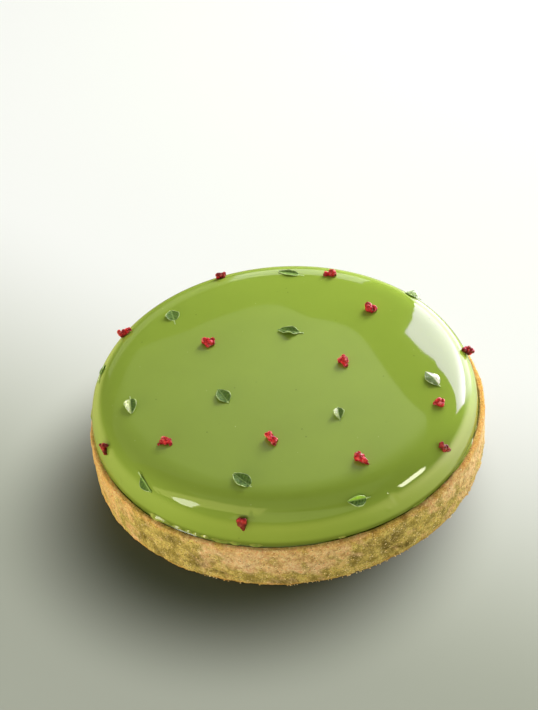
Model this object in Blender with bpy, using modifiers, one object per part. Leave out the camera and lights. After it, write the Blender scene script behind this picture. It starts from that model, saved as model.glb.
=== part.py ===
"""Raspberry matcha tart: a shortcrust shell, a glazed green filling, raspberry pieces and leaves.

Metres, +Z up. The origin is the centre of the flat underside, and -Y faces the viewer.
"""

import math

import bmesh
import bpy
from mathutils import Matrix, Vector, noise

MM = 0.001

# The crust: a thin straight-walled shell, a little oval, with a sandy uneven wall
CRUST_RADIUS = 80 * MM
CRUST_HEIGHT = 19 * MM
RIM_WIDTH = 2.2 * MM
FLOOR_THICKNESS = 3 * MM
EDGE_ROUNDING = 0.8 * MM
OVAL_SHARE = 0.012
OVAL_ANGLE = math.radians(40)
CRAG_DEPTH = 0.45 * MM
CRAG_LENGTH = 7 * MM
CRUST_STEPS = 128

# Dents in the wall: angle, height, half width, depth
WALL_DENTS = (
    (math.radians(-138), 6 * MM, 4 * MM, 0.9 * MM),
    (math.radians(-113), 4 * MM, 5 * MM, 0.5 * MM),
    (math.radians(-63), 5 * MM, 5 * MM, 0.6 * MM),
)

# The filling: a disc with a wide round shoulder, set a little off the crust's centre
TART_HEIGHT = 37 * MM
FILLING_RADIUS = 78.4 * MM
FILLING_SHIFT = Vector((-0.9, 1.3, 0)) * MM
DOME_RISE = 1 * MM
SHOULDER_WIDTH = 17 * MM
SHOULDER_FOOT = 18 * MM
SHOULDER_POWER = 2.5
SHOULDER_STEPS = 11
FILLING_STEPS = 96
FOOT_STEP = 0.5 * MM
FOOT_RISE = 1.8 * MM
GAP = 0.3 * MM

# Raspberry pieces, in mm and degrees: distance from the filling's centre along its surface,
# angle round it, turn from straight outwards, then length, width and height
RASPBERRY_PIECES = (
    (68.5, 109.5, -90, 4.4, 3.2, 2.6),
    (63.5, 68, -59, 5.6, 3.8, 3.6),
    (51.5, 41, -78, 5.6, 4.4, 4.2),
    (72, 152.5, -97, 6.2, 3.4, 3.4),
    (35, 146, -165, 5.6, 4.8, 4.2),
    (25, 2.5, -71, 6.0, 4.2, 4.0),
    (77, 7, 21, 5.6, 3.4, 3.2),
    (65.5, 335.5, -6, 4.8, 4.0, 3.6),
    (59.5, 218, 144, 5.8, 4.4, 4.0),
    (40.5, 261.5, 50, 7.2, 4.0, 4.0),
    (60.5, 297, 23, 6.6, 4.4, 4.2),
    (76, 322, 27, 5.2, 3.8, 3.4),
    (79, 202.5, 68, 5.6, 3.4, 2.8),
    (79, 255.5, 20, 5.6, 4.4, 3.0),
)

# Leaves, in mm and degrees: distance and angle as above, turn of the tip, then length,
# width, stem length, and how far the sides fold up and the tip lifts
LEAVES = (
    (64, 84.5, 71, 7.6, 4.0, 1.8, 0.8, 0.0),
    (60, 137, -36, 7.4, 5.8, 2.6, 0.7, 0.2),
    (24.5, 80.5, 92, 8.6, 5.2, 2.6, 1.2, 0.4),
    (75.5, 39, 128, 6.6, 5.0, 0.8, 1.6, 0.3),
    (60, 349, 132, 9.0, 5.6, 1.0, 1.3, 1.6),
    (62, 192.5, 80, 9.0, 5.6, 1.6, 1.2, 0.4),
    (27, 207.5, -92, 9.0, 6.0, 0.6, 0.6, 0.2),
    (34.5, 307, 146, 7.2, 5.0, 1.0, 1.1, 0.2),
    (62, 253, -120, 9.6, 6.4, 0.8, 0.8, 0.8),
    (75, 289, -97, 7.4, 5.2, 1.6, 0.9, 0.2),
    (77, 223.5, 72, 7.6, 3.6, 2.2, 2.0, 0.0),
    (76, 168, -95, 6.0, 4.0, 4.4, 0.8, 0.0),
)
LEAF_THICKNESS = 0.35 * MM
STEM_WIDTH = 0.6 * MM
LEAF_WAVE = 0.15 * MM
LEAF_CELLS_ALONG = 10
LEAF_CELLS_ACROSS = 4
LOBES_IN_A_PIECE = 9
LOBE_RADIUS = 0.22
LOBE_REACH = 0.25
CORE_RADIUS = 0.34
FLAT_UNDERSIDE = 0.3


def clear_scene():
    for leftover in list(bpy.data.objects):
        bpy.data.objects.remove(leftover)


def food_material(name, colour, roughness):
    material = bpy.data.materials.new(name)
    material.use_nodes = True
    shader = material.node_tree.nodes["Principled BSDF"]
    shader.inputs["Base Color"].default_value = (*colour, 1)
    shader.inputs["Roughness"].default_value = roughness
    shader.inputs["Metallic"].default_value = 0
    return material


def link(name, mesh, material, collection):
    mesh.materials.append(material)
    mesh.shade_smooth()
    part = bpy.data.objects.new(name, mesh)
    collection.objects.link(part)
    return part


def turned_mesh(name, profile, steps):
    """A profile of (radius, height) points, from one end on the axis to the other, turned once."""
    outline = bpy.data.meshes.new(name + " profile")
    edges = [(i, i + 1) for i in range(len(profile) - 1)]
    outline.from_pydata([(radius, 0, height) for radius, height in profile], edges, [])
    guide = bpy.data.objects.new(name + " profile", outline)
    bpy.context.scene.collection.objects.link(guide)
    screw = guide.modifiers.new("Turn", "SCREW")
    screw.steps = steps
    screw.render_steps = steps
    screw.use_merge_vertices = True
    screw.merge_threshold = 0.01 * MM
    graph = bpy.context.evaluated_depsgraph_get()
    mesh = bpy.data.meshes.new_from_object(guide.evaluated_get(graph))
    bpy.data.objects.remove(guide)
    return mesh


def oval(angle):
    return 1 + OVAL_SHARE * math.cos(2 * (angle - OVAL_ANGLE))


def crust_profile():
    inner = CRUST_RADIUS - RIM_WIDTH
    wall_heights = [CRUST_HEIGHT * share for share in (0.82, 0.62, 0.42, 0.22)]
    return [
        (0, FLOOR_THICKNESS),
        (inner / 2, FLOOR_THICKNESS),
        (inner, FLOOR_THICKNESS),
        (inner, CRUST_HEIGHT / 2),
        (inner, CRUST_HEIGHT - EDGE_ROUNDING / 2),
        (inner + EDGE_ROUNDING / 2, CRUST_HEIGHT),
        (CRUST_RADIUS - EDGE_ROUNDING, CRUST_HEIGHT),
        (CRUST_RADIUS, CRUST_HEIGHT - EDGE_ROUNDING),
        *[(CRUST_RADIUS, height) for height in wall_heights],
        (CRUST_RADIUS, EDGE_ROUNDING),
        (CRUST_RADIUS - EDGE_ROUNDING, 0),
        (CRUST_RADIUS / 2, 0),
        (0, 0),
    ]


def wall_relief(point, angle):
    """How far the wall stands out at a point: crags from noise, less the dents."""
    relief = CRAG_DEPTH * noise.noise(point / CRAG_LENGTH)
    for dent_angle, height, half_width, depth in WALL_DENTS:
        along = CRUST_RADIUS * math.remainder(angle - dent_angle, math.tau)
        distance = math.hypot(along, point.z - height) / half_width
        relief -= depth * math.exp(-distance * distance)
    return relief


def make_crust(material, collection):
    mesh = turned_mesh("crust", crust_profile(), CRUST_STEPS)
    for vertex in mesh.vertices:
        point = vertex.co.copy()
        angle = math.atan2(point.y, point.x)
        radius = math.hypot(point.x, point.y)
        grown = radius * oval(angle)
        if radius > CRUST_RADIUS - RIM_WIDTH / 2:
            grown += wall_relief(point, angle)
        if point.z > CRUST_HEIGHT - EDGE_ROUNDING:
            point.z -= CRAG_DEPTH * abs(noise.noise(point / CRAG_LENGTH))
        vertex.co = (grown * math.cos(angle), grown * math.sin(angle), point.z)
    link("crust", mesh, material, collection)


def filling_top_profile():
    """The part of the filling that shows, from the middle of its top to the foot of its side."""
    flat = FILLING_RADIUS - SHOULDER_WIDTH
    edge_height = TART_HEIGHT - DOME_RISE
    points = []
    for share in (0, 0.4, 0.75):
        points.append(Vector((flat * share, TART_HEIGHT - DOME_RISE * share**2)))
    for step in range(SHOULDER_STEPS):
        turn = math.radians(90) * (1 - step / (SHOULDER_STEPS - 1) * 0.93)
        along = math.cos(turn) ** (2 / SHOULDER_POWER)
        up = math.sin(turn) ** (2 / SHOULDER_POWER)
        height = SHOULDER_FOOT + (edge_height - SHOULDER_FOOT) * up
        points.append(Vector((flat + SHOULDER_WIDTH * along, height)))
    return points


def filling_profile():
    inner = CRUST_RADIUS - RIM_WIDTH - GAP
    shown = [(point.x, point.y) for point in filling_top_profile()]
    return [
        *shown,
        (FILLING_RADIUS, CRUST_HEIGHT + FOOT_RISE),
        (inner, CRUST_HEIGHT + FOOT_STEP),
        (inner, CRUST_HEIGHT / 2),
        (inner, FLOOR_THICKNESS + GAP),
        (inner / 2, FLOOR_THICKNESS + GAP),
        (0, FLOOR_THICKNESS + GAP),
    ]


def make_filling(material, collection):
    mesh = turned_mesh("filling", filling_profile(), FILLING_STEPS)
    above_rim = CRUST_HEIGHT + (FOOT_STEP + FOOT_RISE) / 2
    for vertex in mesh.vertices:
        if vertex.co.z > above_rim:
            vertex.co += FILLING_SHIFT
        else:
            grown = oval(math.atan2(vertex.co.y, vertex.co.x))
            vertex.co.x *= grown
            vertex.co.y *= grown
    link("glazed_filling", mesh, material, collection)


def frame_on_filling(reach, angle):
    """The place reached by going outwards from the middle of the top along the surface.

    Its X axis points on down the surface, and its Z axis away from it.
    """
    profile = filling_top_profile()
    left = reach
    for start, end in zip(profile, profile[1:]):
        along = end - start
        if left <= along.length:
            break
        left -= along.length
    along.normalize()
    spot = start + along * left
    outward = Vector((math.cos(angle), math.sin(angle), 0))
    up = Vector((0, 0, 1))
    down_slope = outward * along.x + up * along.y
    normal = up * along.x - outward * along.y
    axes = Matrix((down_slope, normal.cross(down_slope), normal)).transposed().to_4x4()
    return Matrix.Translation(outward * spot.x + up * spot.y + FILLING_SHIFT) @ axes


def lumpy_reach(direction, lobes):
    """How far a union of round lobes reaches from the middle of a piece in one direction."""
    reach = 0
    for centre, radius in lobes:
        along = centre.dot(direction)
        inside = radius * radius - centre.length_squared + along * along
        if inside > 0:
            reach = max(reach, along + math.sqrt(inside))
    return reach


def make_raspberry_piece(number, placing, material, collection):
    reach, angle, turn, length, width, height = placing
    lobes = [(Vector((0, 0, 0)), CORE_RADIUS)]
    for _ in range(LOBES_IN_A_PIECE):
        aim = Vector(noise.random_unit_vector())
        lobes.append((aim * LOBE_REACH, LOBE_RADIUS))
    shape = bmesh.new()
    bmesh.ops.create_icosphere(shape, subdivisions=3, radius=1)
    for vertex in shape.verts:
        direction = vertex.co.normalized()
        vertex.co = direction * lumpy_reach(direction, lobes)
        vertex.co.z = max(vertex.co.z, -FLAT_UNDERSIDE)
    low = Vector([min(vertex.co[axis] for vertex in shape.verts) for axis in range(3)])
    high = Vector([max(vertex.co[axis] for vertex in shape.verts) for axis in range(3)])
    middle = Vector(((low.x + high.x) / 2, (low.y + high.y) / 2, low.z))
    size = Vector((length, width, height)) * MM
    for vertex in shape.verts:
        share = [(vertex.co[axis] - middle[axis]) / (high[axis] - low[axis]) for axis in range(3)]
        vertex.co = (share[0] * size.x, share[1] * size.y, share[2] * size.z + GAP)
    name = f"raspberry_piece_{number:02d}"
    mesh = bpy.data.meshes.new(name)
    shape.to_mesh(mesh)
    shape.free()
    piece = link(name, mesh, material, collection)
    placed = frame_on_filling(reach * MM, math.radians(angle))
    piece.matrix_world = placed @ Matrix.Rotation(math.radians(turn), 4, "Z")


def leaf_half_width(along, width):
    """Half the width of a leaf blade, at a share of the way from its stem to its tip."""
    return width / 2 * math.sin(math.pi * along**0.8) ** 0.75


def make_leaf(number, placing, material, collection):
    reach, angle, turn, length, width, stem, fold, lift = placing
    shape = bmesh.new()
    bmesh.ops.create_grid(shape, x_segments=LEAF_CELLS_ALONG, y_segments=LEAF_CELLS_ACROSS, size=0.5)
    stem_share = stem / (stem + length)
    for vertex in shape.verts:
        along = vertex.co.x + 0.5
        across = vertex.co.y * 2
        in_blade = min(max((along - stem_share) / (1 - stem_share), 0), 1)
        half_width = max(leaf_half_width(in_blade, width) * MM, STEM_WIDTH / 2)
        spread = half_width / (width / 2 * MM)
        folded = fold * MM * abs(across) * spread**2
        wave = LEAF_WAVE * (1 + math.sin(9 * in_blade + number)) * abs(across) * spread**2
        vertex.co.x = (along * (stem + length) - stem - length / 2) * MM
        vertex.co.y = across * half_width
        vertex.co.z = GAP + folded + wave + lift * MM * in_blade
    bmesh.ops.triangulate(shape, faces=shape.faces)
    name = f"leaf_{number:02d}"
    mesh = bpy.data.meshes.new(name)
    shape.to_mesh(mesh)
    shape.free()
    leaf = link(name, mesh, material, collection)
    thick = leaf.modifiers.new("Thickness", "SOLIDIFY")
    thick.thickness = LEAF_THICKNESS
    thick.offset = 1
    placed = frame_on_filling(reach * MM, math.radians(angle))
    leaf.matrix_world = placed @ Matrix.Rotation(math.radians(turn), 4, "Z")


def main():
    clear_scene()
    noise.seed_set(14)
    tart = bpy.data.collections.new("raspberry matcha tart")
    bpy.context.scene.collection.children.link(tart)
    shortcrust = food_material("shortcrust", (0.56, 0.35, 0.14), 0.85)
    glaze = food_material("matcha glaze", (0.26, 0.36, 0.045), 0.06)
    raspberry = food_material("raspberry", (0.52, 0.03, 0.05), 0.6)
    leaf_green = food_material("leaf", (0.06, 0.16, 0.05), 0.5)
    make_crust(shortcrust, tart)
    make_filling(glaze, tart)
    for number, placing in enumerate(RASPBERRY_PIECES, 1):
        make_raspberry_piece(number, placing, raspberry, tart)
    for number, placing in enumerate(LEAVES, 1):
        make_leaf(number, placing, leaf_green, tart)


main()
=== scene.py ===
# Raspberry matcha tart: camera, studio, crust, glaze, raspberry crumbs and leaves
import math
import random
import time

import bmesh
import bpy
from mathutils import Matrix, Vector, noise


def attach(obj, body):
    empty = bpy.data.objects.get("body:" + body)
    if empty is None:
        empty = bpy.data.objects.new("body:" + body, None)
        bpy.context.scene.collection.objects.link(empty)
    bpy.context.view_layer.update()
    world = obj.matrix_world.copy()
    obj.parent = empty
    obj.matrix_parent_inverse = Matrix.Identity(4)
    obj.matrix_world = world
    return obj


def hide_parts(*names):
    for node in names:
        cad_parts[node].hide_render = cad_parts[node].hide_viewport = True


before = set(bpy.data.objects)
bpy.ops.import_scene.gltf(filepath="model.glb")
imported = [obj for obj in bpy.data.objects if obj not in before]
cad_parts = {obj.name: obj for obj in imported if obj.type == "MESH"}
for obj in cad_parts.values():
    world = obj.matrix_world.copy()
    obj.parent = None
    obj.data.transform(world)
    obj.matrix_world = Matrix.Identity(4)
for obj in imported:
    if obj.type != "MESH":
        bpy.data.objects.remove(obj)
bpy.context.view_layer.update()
mm = 0.001
sameSpot = 0.002 * mm  # points nearer than this are merged
began = time.time()


def report(stage):
    print(f"{time.time() - began:6.1f} s  {stage}", flush=True)


def smoothStep(low, high, value):
    share = min(max((value - low) / (high - low), 0), 1)
    return share * share * (3 - 2 * share)


def angleApart(a, b):  # degrees, from -180 to 180
    return (a - b + 180) % 360 - 180


def nearSide(degrees, side, spans):  # spans: degrees from it where this is 0 and 1
    return smoothStep(*spans, abs(angleApart(degrees, side)))


def onCircle(radius, angle, height=0):
    return Vector((radius * math.cos(angle), radius * math.sin(angle), height))


def signedPower(value, power):
    return math.copysign(abs(value) ** power, value)


# Helpers for materials and pieces


class Nodes:  # short ways to add the nodes of one material

    def __init__(self, name):
        self.material = bpy.data.materials.new(name)
        self.material.use_nodes = True
        self.tree = self.material.node_tree
        self.shader = self.tree.nodes["Principled BSDF"]
        self.place = self.add("TexCoord", {})["Object"]

    def fill(self, node, inputs):  # feeds the node's sockets, by name or by number
        for place, value in inputs.items():
            socket = node.inputs[place]
            if isinstance(value, bpy.types.NodeSocket):
                self.tree.links.new(value, socket)
            else:
                socket.default_value = (*value, 1) if socket.type == "RGBA" else value

    def add(self, kind, inputs, **settings):
        node = self.tree.nodes.new("ShaderNode" + kind)
        for name, value in settings.items():
            setattr(node, name, value)
        self.fill(node, inputs)
        return node.outputs

    def noise(self, scale, detail=2, roughness=0.5):
        inputs = {"Vector": self.place, "Scale": scale, "Detail": detail, "Roughness": roughness}
        return self.add("TexNoise", inputs)["Fac"]

    def cells(self, scale):  # distance to the nearest of many scattered points
        return self.add("TexVoronoi", {"Vector": self.place, "Scale": scale})["Distance"]

    def attribute(self, name, output="Fac"):
        return self.add("Attribute", {}, attribute_name=name)[output]

    def spread(self, value, low, high, first=0, last=1, kind="LINEAR"):
        inputs = {0: value, 1: low, 2: high, 3: first, 4: last}
        return self.add("MapRange", inputs, interpolation_type=kind)["Result"]

    def fromSpot(self, middle, distances, values):  # smoothly from the first value to the last
        far = self.add("VectorMath", {0: self.place, 1: middle}, operation="DISTANCE")["Value"]
        return self.spread(far, *distances, *values, "SMOOTHSTEP")

    def times(self, a, b):
        return self.add("Math", {0: a, 1: b}, operation="MULTIPLY")["Value"]

    def mix(self, share, a, b, kind="MIX"):
        return self.add("Mix", {0: share, 6: a, 7: b}, data_type="RGBA", blend_type=kind)[2]

    def dotted(self, colour, tone, strength, scale, sizes, patches, edges):  # dots in some patches only
        dot = self.spread(self.cells(scale), *sizes, 1, 0)
        patch = self.spread(self.noise(patches), *edges)
        return self.mix(self.times(self.times(dot, patch), strength), colour, tone)

    def bump(self, height, strength, distance, **before):
        inputs = {"Height": height, "Strength": strength, "Distance": distance, **before}
        return self.add("Bump", inputs)["Normal"]

    def finish(self, **values):
        self.fill(self.shader, {name.replace("_", " "): value for name, value in values.items()})
        return self.material


def meshObject(name, shape, material=None):
    mesh = bpy.data.meshes.new(name)
    shape.to_mesh(mesh)
    shape.free()
    if material:
        mesh.materials.append(material)
    made = bpy.data.objects.new(name, mesh)
    bpy.context.scene.collection.objects.link(made)
    return made


def addPiece(name, shape, material, slot, *replaced):
    bmesh.ops.recalc_face_normals(shape, faces=shape.faces)
    for face in shape.faces:
        face.smooth = True
    piece = meshObject(name, shape, material)
    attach(piece, "root")
    if replaced:
        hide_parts(*replaced)
    return piece


def grid(cells, size=0.5):
    shape = bmesh.new()
    bmesh.ops.create_grid(shape, x_segments=cells[0], y_segments=cells[1], size=size)
    return shape


def addLayers(shape, *names):  # numbers on the vertices that a material reads by name
    return {name: shape.verts.layers.float.new(name) for name in names}


def turnProfile(profile, steps):  # profile points are (radius, height), first and last on the axis
    rows = len(profile) - 1
    shape = grid((steps, rows))
    for vertex in shape.verts:
        radius, height = profile[round((vertex.co.y + 0.5) * rows)]
        vertex.co = onCircle(radius, math.tau * (vertex.co.x + 0.5), height)
    bmesh.ops.remove_doubles(shape, verts=shape.verts, dist=sameSpot)
    return shape


# Camera: straight from the front, 44 degrees above the table

cameraPlace = {
    "elevation": 43.656,
    "roll": -4.473,
    "distance": 0.72,  # from the middle of the tart's underside
    "focalPixels": 1737.77,
    "imageSize": (538, 710),
    "tartPixel": (289.42, 439.12),  # where the middle of the underside falls
    "sensorWidth": 36,
    "nearest": 0.01,
}


def addCamera(place):
    tilt = math.radians(place["elevation"])
    roll = math.radians(place["roll"])
    back = Vector((0, -math.cos(tilt), math.sin(tilt)))
    right = Vector((1, 0, 0))
    (wide, high), (x, y), focal = (place[name] for name in ("imageSize", "tartPixel", "focalPixels"))
    aim = Vector(((x - wide / 2) / focal, (high / 2 - y) / focal, -1))
    toCamera = Matrix.Rotation(-roll, 3, "Z") @ Matrix((right, back.cross(right), back))
    toCamera = Vector((0, 0, -1)).rotation_difference(aim).to_matrix() @ toCamera
    data = bpy.data.cameras.new("camera")
    data.sensor_width = place["sensorWidth"]
    data.lens = focal * place["sensorWidth"] / high
    data.clip_start = place["nearest"]
    camera = bpy.data.objects.new("camera", data)
    bpy.context.scene.collection.objects.link(camera)
    camera.matrix_world = Matrix.Translation(back * place["distance"]) @ toCamera.transposed().to_4x4()
    bpy.context.scene.camera = camera


addCamera(cameraPlace)
report("camera placed")


# Studio: a pale floor, a near softbox at the back right, a scrim overhead and small strips


def oblong(halfWidth, low, high):  # a panel's corners
    return ((-halfWidth, low), (-halfWidth, high), (halfWidth, high), (halfWidth, low))


keyCorners = (
    (0.109, 0.386), (0.127, 0.415), (0.15, 0.438), (0.33, 0.464), (0.56, 0.480),
    (1.0, 0.525), (0.83, 0.01), (0.42, 0.010), (0.303, 0.016), (0.235, 0.030), (0.202, 0.078),
    (0.185, 0.204), (0.158, 0.287), (0.119, 0.359),
)
studio = {
    "worldColour": (1.0, 1.0, 0.97),
    "worldStrength": 0.07,
    "floorHalfWidth": 4,
    "floorColour": (0.085, 0.099, 0.068),
    "floorRoughness": 0.6,
    # the floor's glow is painted: a painted shadow round the tart times painted light that grows towards
    # the back, each a middle, two distances from it, brightness at each
    "floorPaintedShadowAndLight": (
        ((-0.02, -0.03, 0), (0.050, 0.106), (0.0, 1.0)),
        ((0.5, 0.9, 0), (0.95, 1.14), (0.85, 0.34)),
    ),
    "floorPaintedLightColours": ((1.0, 0.995, 0.985), (0.97, 1.0, 0.84)),  # near the second middle, far from it
    # bearing from straight behind and height in degrees, distance in m,
    # corners as metres sideways and up, brightness, colour, what it lights
    "panels": {
        "key softbox": (0, 0, 0.45, keyCorners, 10, (0.94, 0.78, 1.19), "gloss"),
        "key light": (0, 0, 0.45, keyCorners, 10, (0.98, 0.93, 1.0), "matt"),
        "back panel": (0, 0, 0.5, (
            (-0.05, 0.01), (-0.05, 0.285), (0.02, 0.30), (0.09, 0.30), (0.15, 0.01),
        ), 2.1, (1.0, 1.0, 1.0), "both"),
        "back left panel": (0, 0, 0.5, (
            (-0.4, 0.01), (-0.4, 0.25), (-0.05, 0.305), (-0.05, 0.01),
        ), 0.6, (1.0, 1.0, 0.75), "both"),
        "right fill": (98, 12, 0.5, oblong(0.2, -0.1, 0.1), 3.7, (0.98, 1.0, 0.8), "matt"),
        "back fill": (30, 27, 0.5, oblong(0.11, -0.11, 0.11), 20, (1.0, 1.0, 0.88), "matt"),
        "top fill": (-70, 72, 0.6, oblong(0.2, -0.2, 0.2), 0.95, (1.0, 1.0, 0.9), "matt"),
        "left fill": (-96, 0, 1.9, oblong(1.2, 0.25, 0.375), 20, (1.0, 0.95, 0.80), "matt"),
        "front left fill": (-152, 0, 1.9, oblong(1.3, 0.25, 0.37), 26, (1.0, 0.93, 0.80), "matt"),
        "front left softbox": (-130, 42, 0.8, (
            (0.428, -0.319), (0.288, -0.157), (0.188, 0.001), (0.045, 0.178), (-0.058, 0.216),
            (-0.161, 0.241), (-0.251, 0.304), (-0.42, -0.134), (-0.332, -0.04), (-0.225, -0.059),
            (-0.121, -0.122), (-0.01, -0.179), (0.039, -0.385), (0.124, -0.403), (0.192, -0.362),
            (0.309, -0.412), (0.42, -0.46),
        ), 2.5, (1.0, 0.95, 0.36), "gloss"),
        "front left strip": (-130, 42, 0.7, (
            (0.187, -0.244), (0.125, -0.148), (0.07, -0.086), (0.006, -0.105), (0.031, -0.324),
            (0.104, -0.351), (0.163, -0.316),
        ), 11, (1.0, 0.98, 0.8), "gloss"),
        "front reflector": (180, 0, 0.8, (
            (0.5, 0.19), (0.5, 1.05), (0.0, 0.85), (-0.36, 0.62), (-0.6, 0.5), (-0.6, 0.16),
        ), 1.0, (0.9, 1.0, 0.55), "gloss"),
        "front scrim": (180, 68, 1.0, oblong(0.7, -0.3, 0.3), 0.55, (0.8, 1.0, 0.5), "gloss"),
        "front right strip": (111, 0, 0.8, (
            (-0.09, 0.29), (-0.055, 0.355), (0.02, 0.375), (0.17, 0.36), (0.16, 0.22), (0.065, 0.09),
            (-0.026, 0.125),
        ), 19, (1.0, 0.98, 0.75), "gloss"),
    },
    # the low card, a ring round the tart: inner and outer edge as radius and height
    "cardEdges": ((0.084, 0.0015), (0.15, 0.048)),
    "cardCells": (180, 150),
    # its light: bearing, red, green, blue
    "cardLight": (
        (-200, 2.0, 1.9, 0.5), (-180, 2.0, 1.85, 0.4), (-150, 1.7, 1.6, 0.35), (-115, 1.6, 1.5, 0.5),
        (-80, 1.5, 1.4, 0.5), (-60, 1.3, 1.3, 0.4), (-30, 0.3, 0.3, 0.1), (30, 0.9, 0.95, 0.55),
        (55, 1.1, 1.15, 0.7), (80, 3.0, 3.1, 2.2), (95, 4.0, 3.6, 2.5), (110, 5.0, 4.3, 2.8),
        (125, 4.4, 4.0, 1.8), (140, 3.5, 3.2, 1.2), (160, 2.0, 1.9, 0.5),
    ),
    # a stretch of it is as white as a window from a line up, with a thin bar across
    "paneBearings": ((34, 38), (76, 86)),
    "paneLight": (4.6, 4.1, 5.0),
    "paneHeights": (0.35, 0.40),
    "paneBar": (0.68, 0.012, 64),  # middle, half width, last bearing
    "fades": {  # panels that are brighter near a spot, as the floor's glow
        "key softbox": ((0.7, 0.42, 0.05), (0.18, 0.44), (13.5, 7.4)),
        "overhead scrim": ((0.16, 0.92, 0.9), (0, 0.6), (1.15, 0.29)),
    },
    "scrimHeight": 0.9,
    "scrimColour": (1.0, 1.0, 0.88),
    "scrimCorners": (
        (-1.5, 0.95), (-0.39, 1.06), (-0.215, 1.11), (-0.145, 1.143), (-0.118, 1.166), (-0.052, 1.201),
        (-0.019, 1.210), (0.003, 1.202), (0.024, 1.177), (0.049, 1.147), (0.081, 1.132), (0.106, 1.111),
        (0.122, 1.084), (0.135, 1.044), (0.157, 0.95), (0.179, 0.878), (0.193, 0.85), (0.26, 0.765),
        (0.434, 0.524), (0.515, 0.371), (0.40, 0.36), (0.349, 0.27), (-1.5, 0.27),
    ),
}


def glow(name, bright, colour=None):  # without a colour, the panel's own attribute gives it
    n = Nodes(name)
    n.tree.nodes.remove(n.shader)
    if name in studio["fades"]:
        bright = n.fromSpot(*studio["fades"][name])
    colour = colour or n.attribute("light", "Color")
    light = n.add("Emission", {"Color": colour, "Strength": bright})["Emission"]
    n.fill(n.tree.nodes["Material Output"], {"Surface": light})
    return n.material


def addPanel(name, shape, material, lights="both"):
    panel = meshObject(name, shape, material)
    panel.visible_camera = False
    panel.visible_diffuse = lights != "gloss"
    panel.visible_glossy = lights != "matt"
    return panel


def flatPanel(corners):
    shape = bmesh.new()
    shape.faces.new([shape.verts.new(corner) for corner in corners])
    return shape


def addUprightPanel(name, bearing, height, distance, corners, bright, colour, lights):
    turn, tilt = math.radians(bearing), math.radians(height)
    side = onCircle(1, -turn)
    away = onCircle(math.cos(tilt), math.pi / 2 - turn, math.sin(tilt))
    up = side.cross(away)
    shape = flatPanel([away * distance + side * x + up * y for x, y in corners])
    addPanel(name, shape, glow(name, bright, colour), lights)


def cardLightAt(bearing, out):  # out is 0 at the inner edge and 1 at the outer one
    lights = studio["cardLight"]
    for (low, *lowLight), (high, *highLight) in zip(lights, lights[1:]):
        if bearing <= high:
            break
    share = smoothStep(low, high, bearing)
    fade = smoothStep(1, 0.35, out) * (0.25 + 0.80 * smoothStep(0, 0.5, out))
    (paneFrom, paneWhole), (paneLast, paneTo) = studio["paneBearings"]
    pane = smoothStep(paneFrom, paneWhole, bearing) * smoothStep(paneTo, paneLast, bearing)
    pane *= smoothStep(*studio["paneHeights"], out)
    middle, halfWidth, barTo = studio["paneBar"]
    bar = math.exp(-((out - middle) / halfWidth) ** 4) if bearing < barTo else 0
    light = [(a + (b - a) * share) * fade * (1 - pane) for a, b in zip(lowLight, highLight)]
    return [dim + bright * pane * (1 - bar) for dim, bright in zip(light, studio["paneLight"])]


def addCard():  # lights the glaze's wall from below, brighter at the sides
    shape = grid(studio["cardCells"])
    layer = shape.verts.layers.float_color.new("light")
    first, last = studio["cardLight"][0][0], studio["cardLight"][-1][0]
    inner, outer = (Vector(edge) for edge in studio["cardEdges"])
    for vertex in shape.verts:
        bearing = first + (last - first) * (vertex.co.x + 0.5)
        out = vertex.co.y + 0.5
        vertex[layer] = (*cardLightAt(bearing, out), 1)
        radius, height = inner.lerp(outer, out)
        vertex.co = onCircle(radius, math.radians(90 - bearing), height)
    addPanel("low card", shape, glow("low card", 1), "gloss").visible_shadow = False


def addFloor():
    n = Nodes("pale floor")
    middle, distances, _ = studio["floorPaintedShadowAndLight"][1]
    material = n.finish(
        Base_Color=studio["floorColour"],
        Roughness=studio["floorRoughness"],
        Specular_IOR_Level=0,
        # painted light on the floor, with a painted shadow round the tart
        Emission_Color=n.mix(n.fromSpot(middle, distances, (0, 1)), *studio["floorPaintedLightColours"]),
        Emission_Strength=n.times(*[n.fromSpot(*fade) for fade in studio["floorPaintedShadowAndLight"]]),
    )
    meshObject("floor", grid((1, 1), studio["floorHalfWidth"]), material)


def addStudio():
    world = bpy.data.worlds.new("studio")
    world.use_nodes = True
    background = world.node_tree.nodes["Background"]
    background.inputs["Color"].default_value = (*studio["worldColour"], 1)
    background.inputs["Strength"].default_value = studio["worldStrength"]
    bpy.context.scene.world = world
    for name, settings in studio["panels"].items():
        addUprightPanel(name, *settings)
    addCard()
    corners = [(x, y, studio["scrimHeight"]) for x, y in studio["scrimCorners"]]
    addPanel("overhead scrim", flatPanel(corners), glow("overhead scrim", 1, studio["scrimColour"]))
    addFloor()
    bpy.context.scene.view_settings.view_transform = "Standard"


addStudio()
report("studio lit")


# Crust: a thin straight shell of sandy shortcrust

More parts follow.
